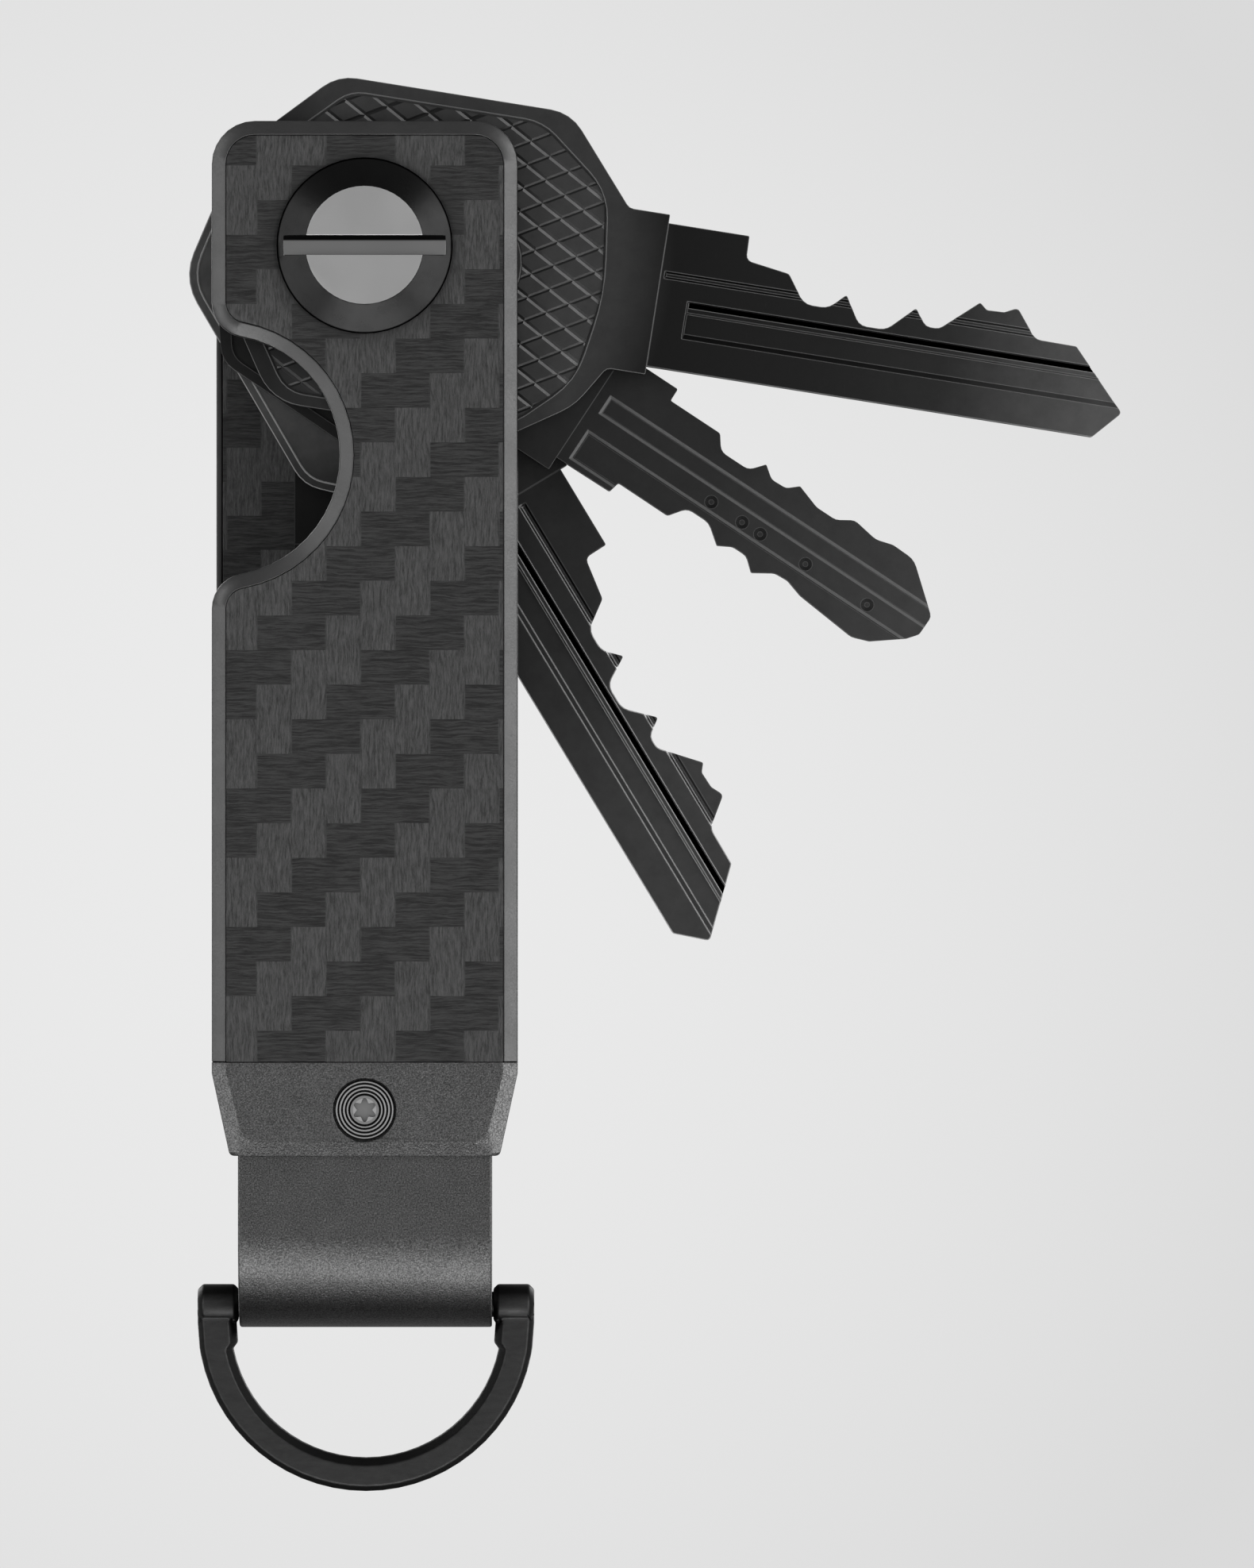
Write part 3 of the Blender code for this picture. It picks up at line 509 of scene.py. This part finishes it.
def prism(name, outline, low, high):
    """A straight solid over an outline in millimetres, from low to high."""
    shape = bmesh.new()
    rows = [[shape.verts.new((x * MM, y * MM, z * MM)) for x, y in outline] for z in (low, high)]
    for i in range(len(outline)):
        j = (i + 1) % len(outline)
        shape.faces.new((rows[0][i], rows[0][j], rows[1][j], rows[1][i]))
    for row in rows:
        shape.faces.new(row)
    bmesh.ops.recalc_face_normals(shape, faces=shape.faces)
    return finished_shape(name, shape)


def lathe(name, profile):
    """A solid turned about Z, from points (radius, height) in millimetres."""
    shape = bmesh.new()
    turns = [2 * math.pi * k / LATHE_SEGMENTS for k in range(LATHE_SEGMENTS)]
    rows = []
    for radius, height in profile:
        if radius == 0:
            rows.append([shape.verts.new((0, 0, height * MM))])
            continue
        points = [(radius * math.cos(t) * MM, radius * math.sin(t) * MM, height * MM) for t in turns]
        rows.append([shape.verts.new(point) for point in points])
    for inner, outer in zip(rows, rows[1:]):
        for k in range(LATHE_SEGMENTS):
            following = (k + 1) % LATHE_SEGMENTS
            if len(inner) == 1:
                shape.faces.new((inner[0], outer[k], outer[following]))
            elif len(outer) == 1:
                shape.faces.new((inner[k], outer[0], inner[following]))
            else:
                shape.faces.new((inner[k], outer[k], outer[following], inner[following]))
    bmesh.ops.recalc_face_normals(shape, faces=shape.faces)
    return finished_shape(name, shape)


def apply_boolean(obj, tool, operation):
    """Cuts an object by a tool, and takes the tool away."""
    modifier = obj.modifiers.new("cut", "BOOLEAN")
    modifier.operation = operation
    modifier.solver = "EXACT"
    modifier.object = tool
    bpy.context.view_layer.update()
    graph = bpy.context.evaluated_depsgraph_get()
    mesh = bpy.data.meshes.new_from_object(obj.evaluated_get(graph))
    obj.modifiers.clear()
    obj.data = mesh
    bpy.data.objects.remove(tool, do_unlink=True)


def knurl_point(a, b):
    """Place (u, v) in millimetres of a point counted in cells along the two sets of grooves."""
    u = KNURL_PITCH * (a + b) / (2 * math.sin(math.radians(KNURL_ANGLE)))
    v = KNURL_PITCH * (a - b) / (2 * math.cos(math.radians(KNURL_ANGLE)))
    return u, v


def knurl_cell(shape, lattice, i, j):
    """One flat-topped diamond between two pairs of crossed V grooves."""
    def point(a, b, height):
        key = (round(a, 4), round(b, 4))
        if key not in lattice:
            u, v = knurl_point(a, b)
            lattice[key] = shape.verts.new((u * MM, v * MM, height * MM))
        return lattice[key]

    s, t = (slope / KNURL_PITCH for slope in KNURL_SLOPES)
    low = [point(i + a, j + b, 0.0) for a, b in ((0, 0), (1, 0), (1, 1), (0, 1))]
    high = [point(i + a, j + b, KNURL_HEIGHT) for a, b in ((s, t), (1 - s, t), (1 - s, 1 - t), (s, 1 - t))]
    shape.faces.new(high)
    for k in range(4):
        shape.faces.new((low[k], low[(k + 1) % 4], high[(k + 1) % 4], high[k]))


def knurl_sheet(name):
    """A sheet of diamonds wider than the field, closed underneath."""
    shape = bmesh.new()
    lattice = {}
    low_u, high_u, low_v, high_v = KNURL_REACH
    for i in KNURL_CELLS:
        for j in KNURL_CELLS:
            u, v = knurl_point(i + 0.5, j + 0.5)
            if low_u < u < high_u and low_v < v < high_v:
                knurl_cell(shape, lattice, i, j)
    made = bmesh.ops.extrude_face_region(shape, geom=shape.faces[:], use_keep_orig=True)
    for item in made["geom"]:
        if isinstance(item, bmesh.types.BMVert):
            item.co.z = KNURL_BASE * MM
    bmesh.ops.recalc_face_normals(shape, faces=shape.faces)
    return finished_shape(name, shape)


def build_knurl(side, crown, lit_wall, dark_wall):
    """A raised field of diamonds in the recess of the first key's bow: side 1 is the front, -1 the rear.
    Walls facing one way get a lighter coat as painted light, the others a darker coat as painted shade.
    """
    obj = knurl_sheet("key_1_knurl_front" if side > 0 else "key_1_knurl_rear")
    apply_boolean(obj, prism("field", rounded(KNURL_FIELD), -0.4, 1.0), "INTERSECT")
    turns = [math.radians(90 + 9 * step) for step in range(21)]
    plaque = [(PLAQUE_RADIUS * math.cos(t), PLAQUE_RADIUS * math.sin(t)) for t in turns]
    plaque += [(PLAQUE_LENGTH - x, -y) for x, y in plaque]
    apply_boolean(obj, prism("plaque", plaque, -0.8, 1.2), "DIFFERENCE")

    mesh = obj.data
    wear(obj, crown, lit_wall, dark_wall)
    for polygon in mesh.polygons:
        normal = polygon.normal
        # Painted light: walls facing this way get the lighter coat, and the other walls the darker coat as
        # painted shade.
        lightened_part = normal.z > 0.5 and normal.x > 0.1 and normal.y > 0.1
        polygon.material_index = 0 if normal.z > 0.99 else 1 if lightened_part else 2

    low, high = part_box("key_1")
    middle = (low.y + high.y) / 2
    lift = Matrix.Translation((0, 0, RECESS_FLOOR * MM))
    if side < 0:
        lift = Matrix.Scale(-1, 4, (0, 0, 1)) @ lift
        mesh.flip_normals()
    upright = Matrix.Rotation(math.pi / 2, 4, "X")
    turn = Matrix.Rotation(math.radians(KEY_1_ANGLE), 4, "Y")
    mesh.transform(Matrix.Translation((0, middle, 0)) @ turn @ upright @ lift)
    mesh.shade_flat()
    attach(obj, "key_1_body")


def split_screw_faces(obj):
    """Material 1 on the screw's end face, 2 on the slot's floor, 3 on its walls, 0 on the rest."""
    low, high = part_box(obj.name)
    for polygon in obj.data.polygons:
        centre = polygon.center
        radius = math.hypot(centre.x, centre.z)
        aside = abs(centre.z)
        flat = polygon.normal.y < -0.97
        on_face = flat and centre.y < low.y + 0.2 * MM and radius < FACE_LIMIT * MM
        in_slot = flat and aside < SLOT_LIMIT * MM and centre.y < low.y + FLOOR_LIMIT * MM
        wall = abs(polygon.normal.z) > 0.9 and aside < (SLOT_LIMIT + 0.1) * MM and radius < HEAD_LIMIT * MM
        polygon.material_index = 1 if on_face else 2 if in_slot else 3 if wall else 0


def strap_screw_profile():
    """Half section of a strap screw, as (radius, height) from the middle of its face to its far end."""
    profile = [(0.0, 0.0)]
    profile += [(SOCKET_RIM[0], 0.0), (SOCKET_RIM[1], 0.0), (1.08, -GROOVE_DEPTH), (1.19, -GROOVE_DEPTH)]
    for ridge in range(RIDGES):
        start = RIDGE_START + RIDGE_PITCH * ridge
        profile += [(start, -0.04), (start + 0.04, 0.0), (start + 0.09, 0.0), (start + 0.13, -0.04)]
        profile += [(start + 0.14, -GROOVE_DEPTH), (start + 0.265, -GROOVE_DEPTH)]
    profile[-1] = (2.22, -0.26)
    profile += [(2.23, -0.7), (0.98, -0.7), (0.98, -5.0), (0.8, -5.1), (0.0, -5.1)]
    return profile


def build_strap_screw(name, bright, dark, floor):
    """A finer head for a strap screw: pale turned ridges between grooves painted dark as shade, round a
    six-lobed socket.
    """
    low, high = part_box(name)
    centre = (low + high) / 2 / MM
    front = name.endswith("front")
    obj = lathe(name + "_fine", strap_screw_profile())
    lobes = []
    for k in range(LATHE_SEGMENTS):
        turn = 2 * math.pi * k / LATHE_SEGMENTS
        radius = SOCKET_RADIUS + SOCKET_LOBE * math.cos(6 * turn)
        lobes.append((radius * math.sin(turn), radius * math.cos(turn)))
    apply_boolean(obj, prism("socket", lobes, -SOCKET_DEPTH, 0.5), "DIFFERENCE")

    mesh = obj.data
    wear(obj, bright, dark, floor)
    for polygon in mesh.polygons:
        open_face = polygon.normal.z > 0.5
        radius = math.hypot(polygon.center.x, polygon.center.y) / MM
        in_socket = polygon.center.z < -0.5 * MM and radius < 0.9
        raised = polygon.center.z > -0.1 * MM
        ring = SOCKET_RIM[0] < radius < SOCKET_RIM[1]
        # Painted shade: sides and grooves get the dark coat.
        polygon.material_index = 1 if not open_face else 2 if in_socket or ring else 0 if raised else 1

    turn = Matrix.Rotation(math.pi / 2 if front else -math.pi / 2, 4, "X")
    top = (low.y if front else high.y) / MM
    mesh.transform(Matrix.Translation((centre.x * MM, top * MM, centre.z * MM)) @ turn)
    mesh.shade_flat()
    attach(obj, "case")
    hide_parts(name)


def dress_case(nodes):
    """Panels, rims, end block, strap, and the ring with its bar."""
    carbon = carbon_material()
    for name in ("front_panel", "rear_panel"):
        wear(nodes[name], carbon)
        soften(nodes[name], 0.05, 1)
    rim = anodised_material()
    for name in ("front_rim", "rear_rim"):
        wear(nodes[name], rim)
        soften(nodes[name], 0.09, 2, 20)
    # The end block takes painted shade on its downward faces.
    wear(nodes["end_block"], blasted_material("blasted_block", 0.133, 0.42, 0.57))
    soften(nodes["end_block"], 0.05, 2, 8)
    wear(nodes["strap"], blasted_material("blasted_strap", 0.106, 0.46))
    soften(nodes["strap"], 0.15, 3)
    ring = ring_material()
    for name in ("d_ring", "hinge_bar"):
        wear(nodes[name], ring)
        soften(nodes[name], 0.12, 3)


def dress_fasteners(nodes):
    """Pivot screw, key post, strap screws and washers."""
    low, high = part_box("strap_screw_front")
    centre = (low + high) / 2 / MM
    # Painted shade: plain black for the walls of the pivot screw's slot and the grooves and sides of the
    # strap screw heads.
    groove_shade = plain_coat("groove_shade", 0.0, 0.6)
    socket = turned_material("socket_floor", 0.5, 0.36, (centre.x, 0, centre.z))
    small = turned_material("small_screw", 0.9, 0.26, (centre.x, 0, centre.z))
    for name in ("strap_screw_front", "strap_screw_rear"):
        wear(nodes[name], small)
        build_strap_screw(name, small, groove_shade, socket)

    # The pivot screw's coat is painted black as shade beyond the brim.
    cone = plain_coat("black_screw", 0.01, 0.26, brim=BRIM_RADIUS)
    # The end face is brightened near its edges as a painted highlight.
    face = turned_material("turned_face", 0.62, 0.42, (0, 0, 0), edge_highlight=0.35)
    # The slot's floor has a painted shadow along its top.
    slot_floor = turned_material("slot_floor", 0.34, 0.36, (0, 0, 0), shadow_above=0.36)
    wear(nodes["pivot_screw"], cone, face, slot_floor, groove_shade)
    split_screw_faces(nodes["pivot_screw"])
    soften(nodes["pivot_screw"], 0.035, 2, 20)
    wear(nodes["pivot_post"], cone)
    soften(nodes["pivot_post"], 0.06, 2, 20)

    polymer = polymer_material()
    for name in nodes:
        if name.startswith("washer"):
            wear(nodes[name], polymer)
            soften(nodes[name], 0.05, 1)


def dress_keys(nodes):
    """The four keys, and the knurling on both sides of the first one's bow."""
    for name, (tones, edge_tone, wear_and_highlight) in KEY_LOOKS.items():
        low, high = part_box(name)
        middle = (low.y + high.y) / 2 / MM
        # Painted shade on the left of the first key, where it lies in the case's scallop.
        shade = 0.4 if name == "key_1" else 1.0
        coat = coated_material("black_" + name, tones, 0.4, 0.01, edge_tone, wear_and_highlight, middle, shade=shade)
        wear(nodes[name], coat)
    # Knurl coats: the crown, a lighter copy for walls facing one way as painted light, and a darker copy
    # for the rest as painted shade; the first two also have the painted shade on the left.
    crown = plain_coat("black_knurl", 0.053, 0.42, scratches=0.006, shade=0.5)
    lit_wall = plain_coat("lit_knurl", 0.19, 0.42, scratches=0.02, shade=0.5)
    dark_wall = plain_coat("shaded_knurl", 0.032, 0.45)
    for side in (1, -1):
        build_knurl(side, crown, lit_wall, dark_wall)


def make_camera():
    """A long lens, a little to the right of the case, shifted to put the picture's middle in place."""
    low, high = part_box("front_panel")
    data = bpy.data.cameras.new("camera")
    data.sensor_width = SENSOR
    data.lens = SENSOR * CAMERA_DISTANCE / PICTURE_HEIGHT
    data.shift_x = (FRAME_CENTRE[0] - CAMERA_X) / PICTURE_HEIGHT
    data.clip_start = 0.05
    data.clip_end = 50
    camera = bpy.data.objects.new("camera", data)
    bpy.context.collection.objects.link(camera)
    camera.location = (CAMERA_X, low.y - CAMERA_DISTANCE, FRAME_CENTRE[1])
    camera.rotation_euler = (math.pi / 2, 0, 0)
    bpy.context.scene.camera = camera


def make_stage():
    """A pale floor well below the piece."""
    shape = bmesh.new()
    bmesh.ops.create_grid(shape, x_segments=1, y_segments=1, size=FLOOR_HALF)
    floor = finished_shape("floor", shape)
    floor.location = (0, 0, FLOOR_HEIGHT)
    pale = Shader("pale_floor", (0.1, 0.1, 0.1), 0.9, Specular_IOR_Level=0.0)
    cloud = pale.noise(pale.place(), 0.004, 2.0)
    pale.set("Base Color", pale.grey(pale.span(cloud, 0.3, 0.7, 0.09, 0.11)))
    pale.set("Emission Color", (1, 1, 1, 1))
    pale.set("Emission Strength", FLOOR_GLOW)
    wear(floor, pale.material)
    floor.visible_glossy = False
    floor.visible_diffuse = False


def area_light(name, direction, width, height, power):
    """A soft box that faces the middle of the case."""
    data = bpy.data.lights.new(name, "AREA")
    data.energy = power
    data.shape = "RECTANGLE"
    data.size = width
    data.size_y = height
    light = bpy.data.objects.new(name, data)
    bpy.context.collection.objects.link(light)
    target = Vector(LIGHT_TARGET)
    light.location = target + Vector(direction).normalized() * LIGHT_DISTANCE
    light.rotation_euler = (target - light.location).to_track_quat("-Z", "Y").to_euler()
    light.visible_camera = False


def backdrop_tone(room, direction):
    """Pale grey that falls off a little away from straight behind the piece."""
    across = room.math("ADD", room.axis(direction, 0), BACKDROP_SHIFT)
    upward = room.axis(direction, 2)
    aside = room.math("ADD", room.times(across, across), room.times(upward, upward))
    return room.span(aside, 0.0, BACKDROP_REACH, BACKDROP_BRIGHT, BACKDROP_DARK)


def surround_tone(room, direction):
    """The room as the piece sees it: dark above and below, grey round the middle."""
    return room.ramp(room.span(room.axis(direction, 2), -1.0, 1.0), SURROUND)


def make_light():
    """Soft boxes right, left and low in front and two behind, in a room that is darker above."""
    for light in LIGHTS:
        area_light(*light)
    world = bpy.data.worlds.new("surround")
    bpy.context.scene.world = world
    world.use_nodes = True
    world.node_tree.nodes.clear()
    room = Nodes(world.node_tree)
    direction = room.node("TexCoord").outputs["Generated"]
    seen = room.node("Background", {"Color": backdrop_tone(room, direction)}).outputs[0]
    lit = room.node("Background", {"Color": surround_tone(room, direction)}).outputs[0]
    by_camera = room.node("LightPath").outputs["Is Camera Ray"]
    mixed = room.node("MixShader", {0: by_camera, 1: lit, 2: seen}).outputs[0]
    room.node("OutputWorld", {"Surface": mixed})
    bpy.context.scene.view_settings.view_transform = "Standard"


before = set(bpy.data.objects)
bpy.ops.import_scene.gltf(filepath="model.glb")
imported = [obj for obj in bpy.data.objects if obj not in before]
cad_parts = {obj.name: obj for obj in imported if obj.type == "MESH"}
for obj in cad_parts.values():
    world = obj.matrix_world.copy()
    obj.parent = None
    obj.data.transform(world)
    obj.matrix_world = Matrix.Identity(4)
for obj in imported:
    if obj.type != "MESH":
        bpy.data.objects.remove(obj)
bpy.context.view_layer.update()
dress_case(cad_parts)
dress_fasteners(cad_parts)
dress_keys(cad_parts)
make_stage()
make_light()
make_camera()
